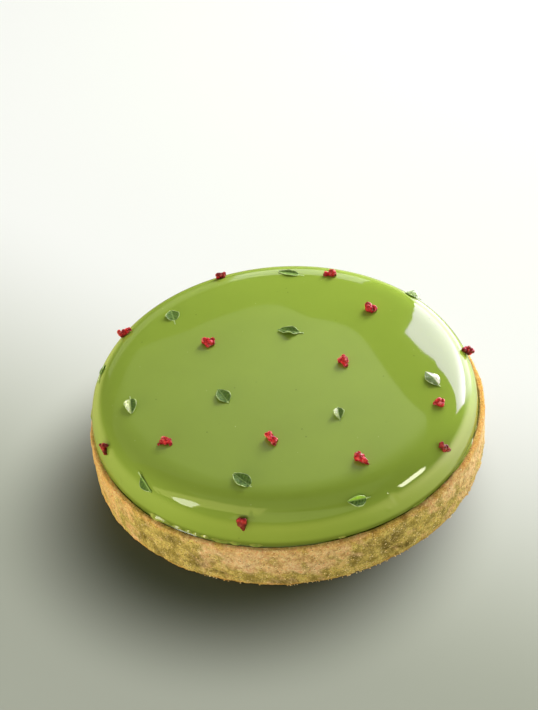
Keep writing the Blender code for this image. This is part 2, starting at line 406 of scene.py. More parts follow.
crust = {
    "radius": 80 * mm,
    "height": 19 * mm,
    "rim": 2.2 * mm,
    "floor": 3 * mm,
    "rounding": 0.8 * mm,
    # over the rim: mm outward from the inside face, mm down
    "rimPoints": ((0, 1.2), (0, 0.5), (0.15, 0.12), (0.4, 0), (0.6, 0), (0.8, 0), (1, 0), (1.2, 0)),
    "baseRing": 3 * mm,
    "ovalShare": 0.012,
    "ovalAngle": math.radians(40),
    "steps": 1300,
    "wallRows": 50,
    "cragDepth": 0.45 * mm,
    "cragLength": 7 * mm,
    "lumps": ((0.16, 2.3), (0.10, 1.1), (0.08, 0.7)),  # depth and length in mm
    "pits": (0.55, 1.7, 0.5),  # and the level where they begin
    "outerShare": 0.55,  # share of the rim that takes the wall's relief
    # depth, length, a finer one's share and length, heights where it begins and is whole
    "raggedFoot": (0.24 * mm, 3.1 * mm, 0.6, 1.1 * mm, (2.0 * mm, 0.2 * mm)),
    "footLift": (0.40 * mm, 1.4 * mm, 1.2 * mm),  # depth, length, highest
    "rimWear": (0.16 * mm, 0.9 * mm),  # depth, length
    # dents: angle, height, half width and depth in mm
    "dents": ((-138, 6, 4, 0.9), (-113, 4, 5, 0.5), (-63, 5, 5, 0.6)),
    # cracks, scars and bumps: angle, height, turn, half length, half width and depth in mm, darkness of
    # the painted shade in the cracks
    "scars": (
        (-138.5, 7, 62, 5.5, 1.0, 1.0, 0.75), (-136, 11, 55, 4, 0.8, -0.6, 0),
        (-133, 5, 58, 4, 0.8, 0.7, 0.7), (-113, 3.6, -4, 6, 0.5, 0.6, 0.9),
        (-109, 5.2, -8, 3, 0.5, -0.35, 0), (-104, 10, -30, 3, 0.5, 0.3, 0.35),
        (-65.5, 7, 70, 3.5, 0.6, 0.6, 0.9), (-61, 4.6, 5, 3.5, 0.55, 0.6, 0.9),
        (-58.5, 6.4, 15, 3, 0.6, -0.4, 0), (-55, 9, 55, 2.5, 0.5, 0.4, 0.7),
        (-158.5, 2.5, 20, 1.2, 0.8, 0.6, 0.9), (-152, 8, 75, 3.5, 0.6, 0.35, 0.4),
        (-146, 12, 60, 3, 0.7, 0.4, 0.35), (-50, 17.6, 0, 1.6, 1.0, -0.5, 0),
        (-87, 8, -40, 3, 0.5, 0.35, 0.4), (-79, 12, -20, 2.6, 0.5, 0.3, 0.3),
        (-96, 4.5, -12, 3.5, 0.5, 0.35, 0.5), (-35, 7, 30, 3, 0.5, 0.35, 0.5),
        (-20, 11, 50, 3, 0.5, 0.3, 0.4), (15, 6, -30, 4, 0.5, 0.4, 0.5), (48, 10, 40, 4, 0.6, 0.4, 0.4),
        (82, 5, -15, 5, 0.5, 0.5, 0.6), (118, 9, 55, 4, 0.6, 0.4, 0.5), (155, 6, -20, 4, 0.5, 0.4, 0.5),
    ),
    "softLength": 8 * mm,  # of the noise that breaks up the browning
    # olive browning: angle and width in degrees, strength, share of the height that it reaches
    "olives": (
        (-147, 3.5, 0.45, 1.2), (-138, 2.6, 0.6, 1.3), (-126, 12, 0.95, 1.25), (-101, 14, 0.8, 0.58),
        (-78, 12, 0.75, 0.58), (-61, 12, 1.15, 1.25), (-40, 14, 0.38, 0.9), (-12, 16, 0.35, 0.5),
        (150, 60, 0.5, 0.8), (60, 40, 0.4, 0.7),
    ),
    "streaks": (5.5 * mm, 4 * mm, 0.4),  # length, height, slant
    # dark patches, partly painted shade in cracks and dents and in the joint under the glaze at the
    # rim's top: angle, height, half width and half height in mm, depth
    "duskAndShadePatches": (
        (-126, 14.5, 4, 3, 0.65), (-119, 8.5, 5, 4, 0.55), (-113, 4, 4, 1.6, 0.5),
        (-93, 2.5, 6, 1.3, 0.5), (-75, 7.5, 3.2, 5.5, 0.6), (-65.5, 8, 3.4, 4.6, 0.85),
        (-61.5, 11, 4.6, 5, 0.8), (-57.5, 4.2, 4, 1.9, 0.85), (-70, 13.5, 3.4, 3.4, 0.55),
        (-58.5, 18.3, 1.4, 1, 0.9), (-68.5, 18.5, 2, 0.8, 0.7), (-51, 14.5, 3, 2.5, 0.3),
        (-44, 8, 3, 2.5, 0.35), (-138.5, 5, 1.5, 3, 0.35), (-9, 18.8, 1.2, 0.6, 0.6),
        (-3, 18.9, 1.5, 0.5, 0.6), (5, 18.9, 2, 0.5, 0.6), (12, 18.8, 1.3, 0.5, 0.5),
    ),
    # side where the rim is most golden, its lit side, where the gold is partly painted highlight;
    # degrees from it, share elsewhere, heights, radii
    "rimGoldAndHighlight": (20, (75, 35), 0.42, (0.82, 0.98), (77.6 * mm, 78.6 * mm)),
    "footGoldAndHighlight": (0.09, 0.01),  # share of the height; the foot's golden edge is partly painted highlight
    "leftGold": (-172, (52, 15)),  # side, degrees from it
    "tones": {
        "sandy": ((0.60, 0.38, 0.155), (0.88, 0.62, 0.31)),
        "rosy": (0.87, 0.60, 0.36),
        "golden": (0.84, 0.50, 0.16),
        "olive": ((0.31, 0.25, 0.052), (0.67, 0.535, 0.145)),
        "dusk_and_shade": (0.115, 0.085, 0.022),
        "edge": (0.72, 0.36, 0.085),
        "grain": ((0.26, 0.225, 0.17), (0.77, 0.75, 0.68)),
    },
    # pale flecks, and dark specks as painted shade of small pits: colour, strength, scale, sizes, scale
    # and edges of the patches
    "dots": (
        ((1.0, 0.80, 0.42), 0.6, 1250, (0.20, 0.36), 300, (0.44, 0.60)),
        ((0.17, 0.09, 0.025), 0.9, 900, (0.14, 0.30), 240, (0.50, 0.62)),
    ),
}


def oval(angle):
    return 1 + crust["ovalShare"] * math.cos(2 * (angle - crust["ovalAngle"]))


def alongWall(degrees, at):
    return crust["radius"] * math.radians(angleApart(degrees, at))


def crustProfile():
    outer, high, r = crust["radius"], crust["height"], crust["rounding"]
    inner = outer - crust["rim"]
    corner = [math.radians(degrees) for degrees in (0, 30, 60, 90)]
    points = [(0, crust["floor"]), (inner, crust["floor"])]
    points += [(inner + out * mm, high - down * mm) for out, down in crust["rimPoints"]]
    points += [(outer - r + r * math.sin(turn), high - r + r * math.cos(turn)) for turn in corner]
    for i in range(1, crust["wallRows"]):
        points.append((outer, high - r - (high - 2 * r) * i / crust["wallRows"]))
    points += [(outer - r + r * math.cos(turn), r - r * math.sin(turn)) for turn in corner]
    return points + [(outer - crust["baseRing"], 0), (0, 0)]


def crustRelief(point, angle):
    degrees = math.degrees(angle)
    relief = crust["cragDepth"] * noise.noise(point / crust["cragLength"])
    for at, height, halfWidth, depth in crust["dents"]:
        distance = math.hypot(alongWall(degrees, at), point.z - height * mm) / (halfWidth * mm)
        relief -= depth * mm * math.exp(-distance * distance)
    return relief - scarsAt(degrees, point.z)[0]


def scarsAt(degrees, height):  # how deep the cracks make this spot of the wall, and how dark their painted shade is
    deep = dark = 0
    for at, up, turn, length, width, depth, darkness in crust["scars"]:
        along = alongWall(degrees, at) / mm
        if abs(along) > 2.5 * length:
            continue
        lifted = height / mm - up
        cosine, sine = math.cos(math.radians(turn)), math.sin(math.radians(turn))
        bent = 0.5 * noise.noise(Vector((along * 0.6, lifted * 0.6, at)))  # the crack wanders
        x = (along * cosine - lifted * sine) / length
        y = (along * sine + lifted * cosine + bent) / width
        near = math.exp(-x * x - y * y)
        deep += depth * mm * near
        dark = max(dark, darkness * near)
    return deep, dark


def fineCrumb(point):
    lumps = sum(depth * noise.noise(point / (length * mm)) for depth, length in crust["lumps"])
    depth, length, level = crust["pits"]
    pit = noise.noise(point / (length * mm) + Vector((31, 7, 5)))
    return (lumps - depth * max(pit - level, 0)) * mm


def crustMaterial():
    n = Nodes("shortcrust")
    tones = crust["tones"]
    colour = n.mix(n.spread(n.noise(420, 3, 0.6), 0.40, 0.60), *tones["sandy"])
    rosy = n.spread(n.noise(130, 3, 0.55), 0.47, 0.58)
    colour = n.mix(n.times(rosy, 0.55), colour, tones["rosy"])
    colour = n.mix(n.attribute("golden"), colour, tones["golden"])
    olive = n.spread(n.attribute("olive"), 0.24, 0.74)
    oliveTone = n.mix(n.spread(n.noise(240, 3, 0.6), 0.40, 0.60), *tones["olive"])
    colour = n.mix(n.times(olive, 0.9), colour, oliveTone)
    # darker patches, with painted shade in cracks, dents and the joint under the glaze
    dusk_and_shade = n.times(n.attribute("dusk_and_shade"), n.spread(n.noise(450, 3), 0.35, 0.60, 0.45, 1))
    colour = n.mix(dusk_and_shade, colour, tones["dusk_and_shade"])
    # golden edges of rim and foot: baked colour with painted highlight
    colour = n.mix(n.attribute("edge"), colour, tones["edge"])
    grain = n.noise(1250, 4, 0.75)
    colour = n.mix(0.75, colour, n.mix(n.spread(grain, 0.36, 0.64), *tones["grain"]), "OVERLAY")
    for dots in crust["dots"]:
        colour = n.dotted(colour, *dots)
    normal = n.bump(grain, 0.7, 0.0004, Normal=n.bump(n.cells(1250), 0.3, 0.0003))
    return n.finish(Base_Color=colour, Roughness=0.85, Normal=normal, Specular_IOR_Level=0.1)


def wornSpot(point, angle, outside):  # radius and height with relief, ragged foot and worn rim
    radius, height = math.hypot(point.x, point.y) * oval(angle), point.z
    liftDepth, liftLength, liftTo = crust["footLift"]
    if outside:
        depth, length, fineShare, fineLength, heights = crust["raggedFoot"]
        radius += crustRelief(point, angle) + fineCrumb(point)
        ragged = noise.noise(Vector((point.x, point.y, 0)) / length)
        ragged += fineShare * noise.noise(Vector((point.x, point.y, 5)) / fineLength)
        radius += depth * ragged * smoothStep(*heights, point.z)
    if height > crust["height"] - crust["rounding"]:
        depth, length = crust["rimWear"]
        height -= crust["cragDepth"] * abs(noise.noise(point / crust["cragLength"]))
        height -= depth * abs(noise.noise(Vector((point.x, point.y, height)) / length))
    elif outside and 0 < height < liftTo:
        height += liftDepth * max(noise.noise(Vector((point.x, point.y, 3)) / liftLength), 0)
    return radius, height


def oliveAt(angle, share, height, soft):  # browning, broken up by slanting streaks
    browned = 0
    for at, width, strength, reach in crust["olives"]:
        lowDown = smoothStep(reach, reach - 0.45, share + 0.22 * soft)
        near = strength * math.exp(-(angleApart(math.degrees(angle), at) / width) ** 2)
        browned += near * (0.08 + 1.1 * lowDown + 0.7 * soft)
    long, tall, slant = crust["streaks"]
    along = crust["radius"] * angle
    streak = noise.fractal(Vector((along / long, (along * slant + height) / tall, 8)), 1, 2, 2)
    return min(max(browned, 0), 1) + 0.6 * streak


def duskAndShadeAt(degrees, height, soft):
    dusk = scarsAt(degrees, height)[1]
    for at, up, wide, tall, depth in crust["duskAndShadePatches"]:
        off = math.hypot(alongWall(degrees, at) / (wide * mm), (height - up * mm) / (tall * mm))
        dusk = max(dusk, depth * smoothStep(1.2, 0.4, off + 0.5 * soft))
    return dusk


def edgeGoldAndHighlightAt(degrees, height, radius, soft):  # how golden the edges of the rim and the foot are: baked colour and painted highlight, the rim's strongest on its lit side
    side, spans, elsewhere, heights, radii = crust["rimGoldAndHighlight"]
    rim = smoothStep(*heights, height + 0.10 * soft) * smoothStep(*radii, radius)
    rim *= elsewhere + (1 - elsewhere) * nearSide(degrees, side, spans)
    return 0.8 * max(rim, 0.75 * smoothStep(*crust["footGoldAndHighlight"], height + 0.04 * soft))


def makeCrust():
    shape = turnProfile(crustProfile(), crust["steps"])
    layers = addLayers(shape, "olive", "dusk_and_shade", "edge", "golden")
    for vertex in shape.verts:
        point = vertex.co.copy()
        angle = math.atan2(point.y, point.x)
        degrees = math.degrees(angle)
        radius = math.hypot(point.x, point.y)
        share = point.z / crust["height"]
        outside = radius > crust["radius"] - crust["rim"] * crust["outerShare"]
        grown, point.z = wornSpot(point, angle, outside)
        vertex.co = onCircle(grown, angle, point.z)
        soft = noise.fractal(point / crust["softLength"], 1, 2, 4)
        edged = outside or share > 0.9
        vertex[layers["olive"]] = oliveAt(angle, share, point.z, soft)
        vertex[layers["dusk_and_shade"]] = duskAndShadeAt(degrees, point.z, soft)
        vertex[layers["edge"]] = edgeGoldAndHighlightAt(degrees, share, radius, soft) if edged else 0
        vertex[layers["golden"]] = nearSide(degrees, *crust["leftGold"]) * (0.7 + 0.5 * soft)
    addPiece("shortcrust_shell", shape, crustMaterial(), "shortcrust", "crust")


crustBits = {
    "seed": 11,
    "flecks": 1900,  # pale grains pressed into the wall
    "fleckSize": (0.12 * mm, 0.36 * mm),
    "fleckMargins": (0.6 * mm, 0.7 * mm),  # left free at foot and rim
    "crumbs": 260,  # loose grains along the foot and the rim
    "crumbSize": (0.14 * mm, 0.36 * mm),
    "rimSpot": (0.35 * mm, 0.25 * mm),  # below the rim's top, inside its edge
    "fleckFlatness": 0.5,
    "crumbFlatness": 0.8,
    "bare": 0.30,  # share of the wall's patches that have few flecks
    "patchLength": 4 * mm,
    # a smoother stretch: side, degrees from it, share left out, degrees without crumbs
    "bareSide": (-150, (42, 21), 0.8, 29.4),
    "tones": ((0.80, 0.54, 0.17), (1.0, 0.84, 0.46)),
}


def addGrain(shape, draw, spot, angle, size, flatness):
    turn = Matrix.Rotation(angle, 4, "Z") @ Matrix.Diagonal((flatness, 1, 1, 1))
    turn = turn @ Matrix.Rotation(draw.uniform(0, 6), 4, "X")
    grown = Matrix.Diagonal((size, size * draw.uniform(0.6, 1.5), size, 1))
    placed = Matrix.Translation(spot) @ turn @ grown
    made = bmesh.ops.create_icosphere(shape, subdivisions=1, radius=1, matrix=placed)
    for vertex in made["verts"]:
        vertex.co += Vector([draw.uniform(-0.2, 0.2) * size for _ in range(3)])


def wallSpot(angle, height, sunk=0.0):
    flat = onCircle(crust["radius"], angle, height)
    radius = crust["radius"] * oval(angle) + crustRelief(flat, angle) + fineCrumb(flat) - sunk
    return onCircle(radius, angle, height)


def grainMaterial():
    n = Nodes("shortcrust grains")
    colour = n.mix(n.spread(n.noise(700), 0.40, 0.60), *crustBits["tones"])
    return n.finish(Base_Color=colour, Roughness=0.8, Specular_IOR_Level=0.1)


def addTo(whole, batch):
    mesh = bpy.data.meshes.new("batch")
    batch.to_mesh(mesh)
    batch.clear()
    whole.from_mesh(mesh)
    bpy.data.meshes.remove(mesh)


def makeCrustBits():
    draw = random.Random(crustBits["seed"])
    whole, shape = bmesh.new(), bmesh.new()
    footMargin, rimMargin = crustBits["fleckMargins"]
    side, spans, leftOut, noCrumbs = crustBits["bareSide"]
    below, inside = crustBits["rimSpot"]
    placed = 0
    while placed < crustBits["flecks"]:
        angle = draw.uniform(-math.pi, math.pi)
        spot = wallSpot(angle, draw.uniform(footMargin, crust["height"] - rimMargin))
        size = draw.uniform(*crustBits["fleckSize"])
        if draw.random() < leftOut * nearSide(math.degrees(angle), side, spans):
            continue
        if noise.noise(spot / crustBits["patchLength"]) < crustBits["bare"] * draw.uniform(-1, 1):
            continue
        spot -= Vector((spot.x, spot.y, 0)).normalized() * size * 0.1
        addGrain(shape, draw, spot, angle, size, crustBits["fleckFlatness"])
        placed += 1
        if placed % 50 == 0:
            addTo(whole, shape)
    for number in range(crustBits["crumbs"]):
        angle = draw.uniform(-math.pi, math.pi)
        if abs(angleApart(math.degrees(angle), side)) < noCrumbs:
            continue
        size = draw.uniform(*crustBits["crumbSize"])
        if number % 3:
            spot = wallSpot(angle, size * 0.7)
        else:
            spot = wallSpot(angle, crust["height"] - below, inside)
        addGrain(shape, draw, spot, angle, size, crustBits["crumbFlatness"])
    addTo(whole, shape)
    shape.free()
    for vertex in whole.verts:  # none reaches under the table
        vertex.co.z = max(vertex.co.z, 0)
    addPiece("shortcrust_grains", whole, grainMaterial(), "shortcrust")


makeCrust()
makeCrustBits()
report("crust made")


# Filling and glaze: a disc with a wide round shoulder under a mirror of matcha glaze

glaze = {
    "top": 37 * mm,
    "radius": 78.4 * mm,
    "shift": Vector((-0.9, 1.3, 0)) * mm,
    "dome": 1 * mm,
    "shoulderWidth": 17 * mm,
    "shoulderFoot": 18 * mm,
    "shoulderPower": 2.6,
    "shoulderTurn": 0.93,  # share of a quarter turn that the shoulder takes
    # mm above the rim, mm of spread
    "foot": ((1.8, 0), (1.3, 0), (0.8, 0.03), (0.35, 0.12), (0.1, 0.22), (0.02, 0.1)),
    "footStep": 0.01 * mm,
    "gap": 0.3 * mm,
    "steps": 900,
    "shoulderRows": 62,
    "topRows": 16,
    "footShade": (21.8 * mm, 19.0 * mm, 0.75, 0.85),  # painted shade by the rim: clear and darkest heights, shade there and below
    "cloud": ((0.264, 0.374, 0.048), (0.281, 0.395, 0.052)),
    "paintedFootShadeTone": (0.105, 0.150, 0.016),
    # dark specks, pale specks, as in the crust
    "dots": (
        ((0.10, 0.15, 0.02), 0.55, 230, (0.05, 0.09), 90, (0.58, 0.62)),
        ((0.62, 0.70, 0.30), 0.6, 310, (0.035, 0.06), 70, (0.56, 0.60)),
    ),
    # ripples and dimples: distance down the glaze, angle, turn, half length, half width, rise, in mm
    "marks": (
        (80.6, -59.9, 20, 3.4, 1.2, 0.42), (83.2, -62.5, 50, 1.6, 0.8, -0.25),
        (84.4, -147.5, 10, 2.2, 1.3, 0.14), (79.2, -155, 0, 2.2, 1.4, 0.10),
        (77.1, -131.8, 70, 1.2, 0.35, 0.05), (76.3, -134, 15, 1.1, 0.3, -0.05),
        (76.0, -104.6, 90, 2.6, 1.0, -0.16), (75.6, -101.3, 20, 1.8, 0.8, 0.12),
        (83.5, -24, 60, 3.0, 1.2, 0.08), (82.0, 40, 80, 3.5, 1.1, 0.10), (83.0, 120, 95, 4.0, 1.0, 0.10),
        (81.5, 172, 60, 2.4, 1.2, -0.10), (82.5, 75, 85, 2.6, 1.3, 0.08),
    ),
}


def glazeTopProfile(rows, topShares):  # from the middle of the top to the shoulder's foot
    top, dome, foot, power = (glaze[name] for name in ("top", "dome", "shoulderFoot", "shoulderPower"))
    flat = glaze["radius"] - glaze["shoulderWidth"]
    points = [Vector((flat * share, top - dome * share ** 2)) for share in topShares]
    for step in range(rows):
        turn = math.radians(90) * (1 - step / (rows - 1) * glaze["shoulderTurn"])
        radius = flat + glaze["shoulderWidth"] * math.cos(turn) ** (2 / power)
        cap = top - dome * (radius / flat) ** 2  # the dome goes on over the shoulder
        points.append(Vector((radius, foot + (cap - foot) * math.sin(turn) ** (2 / power))))
    return points


def frameOnFilling(reach, degrees, turn=0):  # X runs on down the glaze, Z stands away from it
    profile = glazeTopProfile(11, (0, 0.4, 0.75))
    left = reach * mm
    for start, end in zip(profile, profile[1:]):
        along = end - start
        if left <= along.length:
            break
        left -= along.length
    along.normalize()
    spot = start + along * left
    outward = onCircle(1, math.radians(degrees))
    up = Vector((0, 0, 1))
    downSlope = outward * along.x + up * along.y
    normal = up * along.x - outward * along.y
    axes = Matrix((downSlope, normal.cross(downSlope), normal)).transposed().to_4x4()
    placed = Matrix.Translation(outward * spot.x + up * spot.y + glaze["shift"]) @ axes
    return placed @ Matrix.Rotation(math.radians(turn), 4, "Z")


def glazeMaterial():
    n = Nodes("matcha glaze")
    colour = n.mix(n.spread(n.noise(28, 3), 0.3, 0.7), *glaze["cloud"])
    for dots in glaze["dots"]:
        colour = n.dotted(colour, *dots)
    # painted shade on the glaze's foot next to the crust
    colour = n.mix(n.attribute("foot"), colour, glaze["paintedFootShadeTone"])
    return n.finish(Base_Color=colour, Roughness=0.03, IOR=1.47)


def glazeProfile():
    inner, floor = crust["radius"] - crust["rim"] - glaze["gap"], crust["floor"] + glaze["gap"]
    rows = glaze["topRows"]
    shown = glazeTopProfile(glaze["shoulderRows"], [i / rows for i in range(rows)])
    return [
        *[(point.x, point.y) for point in shown],
        *[(glaze["radius"] + out * mm, crust["height"] + rise * mm) for rise, out in glaze["foot"]],
        (inner, crust["height"] + glaze["footStep"]), (inner, crust["height"] / 2),
        (inner, floor), (inner / 2, floor), (0, floor),
    ]


def makeGlaze():
    shape = turnProfile(glazeProfile(), glaze["steps"])
    shade = addLayers(shape, "foot")["foot"]
    shape.normal_update()
    aboveRim = crust["height"] + glaze["footStep"] * 1.5
    clear, darkest, footShade, rimShade = glaze["footShade"]
    marks = []
    for reach, angle, turn, length, width, rise in glaze["marks"]:
        there = frameOnFilling(reach, angle, turn)
        marks.append((there.inverted(), there.translation, length * mm, width * mm, rise * mm))
    for vertex in shape.verts:
        if vertex.co.z > aboveRim:
            vertex.co += glaze["shift"]
            out = vertex.normal.copy()
            here = vertex.co.copy()
            for toMark, middle, length, width, rise in marks:
                if (here - middle).length < 3 * length:
                    x, y, _ = toMark @ here
                    vertex.co += out * rise * math.exp(-(x / length) ** 2 - (y / width) ** 2)
            vertex[shade] = footShade * smoothStep(clear, darkest, here.z)
        else:
            grown = oval(math.atan2(vertex.co.y, vertex.co.x))
            vertex.co.x *= grown
            vertex.co.y *= grown
            vertex[shade] = rimShade
    addPiece("glazed_cream", shape, glazeMaterial(), "matcha_glaze", "glazed_filling")


# Glaze that ran out onto the rim: a thin bead round the foot, with thick beads at the front left

glazeRun = {
    "radius": 78.1 * mm,
    "height": 19.2 * mm,
    "width": 0.30 * mm,
    "thickness": 0.26 * mm,
    "waver": 0.12 * mm,  # of the width; the thickness has less
    "wavers": ((38, 1), (90, 0.5)),  # quickness, share
    "least": (0.12 * mm, 0.1 * mm),  # width and thickness
    "lean": 0.35,  # share of its width that it lies outward
    "under": -0.45,  # cut flat this far below its middle
    "chamfer": 1.1,  # 2 is a round section, 1 a square one standing on its corner
    "cells": (1600, 28),
    "tones": ((0.235, 0.320, 0.040), (0.400, 0.430, 0.075)),
    # angle and half length in degrees, extra width and thickness in mm, thinning along it
    "beads": (
        (-130.3, 3.1, 0.85, 1.12, 0.45), (-124.2, 1.5, 0.40, 0.55, 0.2), (-120.6, 1.1, 0.40, 0.55, 0),
        (-118.2, 0.9, 0.45, 0.6, -0.2), (-115.6, 1.1, 0.45, 0.55, -0.4), (-110.5, 2.4, 0.9, 0.30, 0),
        (-106.4, 1.3, 0.75, 0.40, 0), (-100.8, 1.5, 0.75, 0.35, 0), (-77, 0.9, 0.45, 0.3, 0),
        (-52, 2.5, 0.4, 0.1, 0), (-33, 3.0, 0.5, 0.15, 0), (-26, 4, 0.5, 0.1, 0), (-17, 2, 0.2, 0.1, 0),
        (20, 3, 0.2, 0.1, 0), (48, 3, 0.3, 0.2, 0), (83, 2.4, 0.5, 0.3, 0), (120, 3, 0.6, 0.3, 0),
        (150, 2, 0.5, 0.3, 0), (178, 3, 0.5, 0.3, 0),
    ),
}


def runMaterial():
    n = Nodes("thin matcha glaze")
    colour = n.mix(n.spread(n.noise(420), 0.35, 0.65), *glazeRun["tones"])
    return n.finish(Base_Color=colour, Roughness=0.06, IOR=1.47)


def makeRun():
    shape = grid(glazeRun["cells"])
    power = 2 / glazeRun["chamfer"]
    leastWide, leastThick = glazeRun["least"]
    for vertex in shape.verts:
        angle = math.tau * (vertex.co.x + 0.5)
        turn = math.tau * (vertex.co.y + 0.5)
        direction = onCircle(1, angle)
        waver = sum(share * noise.noise(direction * turns) for turns, share in glazeRun["wavers"])
        wide = glazeRun["width"] + glazeRun["waver"] * waver
        thick = glazeRun["thickness"] + 0.4 * glazeRun["waver"] * waver
        for at, length, extra, rise, thins in glazeRun["beads"]:
            off = angleApart(math.degrees(angle), at) / length
            bulge = math.exp(-off ** 4) * (1 - thins * off)
            wide += extra * mm * bulge
            thick += rise * mm * bulge
        middle = direction * (glazeRun["radius"] + wide * glazeRun["lean"]) + glaze["shift"]
        outward = signedPower(math.cos(turn), power) * max(wide, leastWide)
        up = max(signedPower(math.sin(turn), power), glazeRun["under"]) * max(thick, leastThick)
        vertex.co = middle + direction * outward + Vector((0, 0, glazeRun["height"] + up))
    bmesh.ops.remove_doubles(shape, verts=shape.verts, dist=sameSpot)
    addPiece("glaze_run", shape, runMaterial(), "matcha_glaze")


makeGlaze()
makeRun()
report("glaze made")


# Raspberry crumbs: angular bits of dried berry, each a cluster of lobes pressed together

crumbs = {
    # distance from the middle along the glaze in mm and angle, darkness,
    # then each lobe, in mm: down the slope, across it, up from the glaze, radius
    1: (68.5, 109.5, 0.75, (
        (1.28, 0.37, 1.46, 1.25), (1.02, -0.71, 1.54, 0.86), (0.89, -1.5, 1.75, 0.6),
        (0.79, -2.21, 1.98, 0.34), (1.19, 0.99, 0.84, 0.77),
    )),
    2: (63.5, 68, 0.25, (
        (0.73, 2.28, 0.9, 0.94), (0.46, 2.74, 0.58, 0.51), (1.51, -0.36, 1.23, 1.45),
        (2.69, 0.56, 1.35, 0.81), (1.63, -1.16, 0.78, 0.81), (1.17, 0.99, 0.76, 0.68),
    )),
    3: (51.5, 41, 0.35, (
        (0.12, 1.67, 1.83, 1.37), (-0.46, 0.66, 1.46, 1.49), (0.93, -0.65, 1.21, 1.3),
        (-0.33, -0.5, 1.0, 1.2), (1.93, -0.79, 1.12, 0.5),
    )),
    4: (72, 152.5, 0.3, (
        (2.28, -0.13, 2.5, 0.83), (1.92, -0.02, 1.76, 1.0), (0.82, -1.1, 1.86, 0.87),
        (-0.24, -2.04, 1.76, 0.67), (-1.1, -2.84, 1.76, 0.42),
    )),
    5: (35, 146, 0.2, (
        (2.23, -0.35, 1.69, 0.98), (2.32, 0.18, 1.31, 0.65), (0.77, -0.63, 1.59, 1.06),
        (-0.56, -0.62, 1.35, 1.06), (-0.76, -2.23, 1.69, 0.74), (-1.45, -1.16, 1.11, 0.61),
        (-0.35, 0.87, 0.7, 0.82), (0.77, 0.56, 1.01, 0.82),
    )),
    6: (25, 2.5, 0.1, (
        (0.33, 2.47, 2.13, 0.68), (-1.55, 1.14, 1.49, 0.68), (-0.36, 1.25, 1.83, 1.04),
        (0.85, 1.24, 1.79, 0.88), (0.23, -0.02, 1.36, 1.04), (0.72, -1.4, 0.68, 0.8),
        (1.48, 0.42, 1.25, 0.48),
    )),
    7: (77, 7, 0.55, (
        (-1.75, 0.29, 0.98, 0.77), (-0.4, 1.58, 1.59, 0.77), (0.12, 1.5, 2.52, 0.73),
        (0.88, 1.01, 2.83, 0.73), (1.73, 0.34, 2.84, 0.77), (0.28, 0.95, 1.37, 0.77),
        (1.12, 0.52, 2.0, 0.61),
    )),
    8: (65.5, 335.5, 0.15, (
        (-1.87, 0.73, 0.89, 0.51), (-1.37, 1.5, 1.17, 0.66), (-0.65, 2.34, 1.43, 0.82),
        (0.4, 2.91, 1.33, 0.66), (-0.09, 1.11, 0.92, 0.93), (1.09, 1.3, 0.66, 0.78),
        (1.05, 2.48, 0.92, 0.47),
    )),
    9: (59.5, 218, 0.0, (
        (1.89, -1.72, 0.34, 0.39), (0.72, -1.52, 0.85, 0.73), (-0.57, -1.65, 1.38, 0.92),
        (-1.14, -0.77, 1.35, 1.0), (-0.41, -0.22, 0.93, 0.92), (-1.66, 0.37, 1.11, 0.89),
        (-1.32, 1.52, 0.49, 0.58),
    )),
    10: (40.5, 261.5, 0.0, (
        (-1.88, -1.9, 2.03, 0.65), (-2.39, -0.86, 2.23, 0.65), (-1.15, -0.6, 1.75, 1.2),
        (-0.07, 0.33, 1.35, 1.25), (0.94, 1.1, 0.94, 1.05), (1.72, 1.45, 0.42, 0.5),
        (-0.04, 1.9, 1.12, 0.46),
    )),
    11: (60.5, 297, 0.3, (
        (-2.39, -0.77, 1.89, 0.75), (-2.21, 0.27, 2.02, 0.68), (-1.5, -1.3, 1.45, 0.9),
        (-0.6, -0.32, 1.61, 1.25), (-0.75, 0.98, 1.67, 0.68), (0.94, 0.25, 1.18, 1.09),
        (2.02, 0.83, 0.7, 0.72), (2.64, 1.06, 0.35, 0.41),
    )),
    12: (76, 322, 0.75, (
        (-2.05, 0.4, 1.63, 0.62), (-1.22, -0.1, 1.2, 0.9), (-0.25, 0.3, 1.05, 1.05),
        (0.4, 1.23, 1.05, 0.95), (1.58, 1.54, 0.72, 0.84), (2.28, 2.34, 0.52, 0.54),
        (0.84, 0.41, 0.62, 0.69),
    )),
    13: (79, 202.5, 0.7, (
        (0.1, -2.6, 1.88, 0.59), (-1.55, -0.64, 2.04, 0.74), (0.17, -1.0, 1.52, 0.74),
        (0.76, -0.16, 1.06, 0.67), (1.58, 0.73, 0.5, 0.59),
    )),
    14: (79, 255.5, 0.8, (
        (-0.97, -0.73, 1.97, 0.89), (-1.11, 1.07, 1.87, 0.89), (0.16, -0.13, 1.6, 1.11),
        (0.23, 0.99, 1.49, 1.0), (1.4, 0.57, 1.01, 0.89), (2.36, 0.75, 0.51, 0.59),
    )),
}
crumbCut = {
    "voxel": 0.11 * mm,
    "lump": (0.26 * mm, 1.25 * mm),  # depth and length
    "crease": (0.34 * mm, 2.1 * mm),
    "grit": (0.035 * mm, 0.3 * mm),
    "plump": 0.22 * mm,
    "sunk": 0.12 * mm,
    # a lobe this many radii high is filled in under it: share of its height, least height, shrinking
    "fillIn": (1.2, 0.5, 0.75, 0.85),
    "shelter": (1.7 * mm, 0.1 * mm),  # heights where the painted shade under it begins and is whole
    "patchLength": 1.7 * mm,
    "mottle": ((0.54, 0.010, 0.022), (0.90, 0.030, 0.044)),
    "tones": {  # strength and colour; crease is painted shade, and the raised lumps' tone is pale powder with painted highlight
        "ridge_powder_and_highlight": (0.8, (1.0, 0.27, 0.25)),
        "dark": (1, (0.13, 0.003, 0.010)),
        "crease": (1, (0.10, 0.001, 0.005)),
    },
}


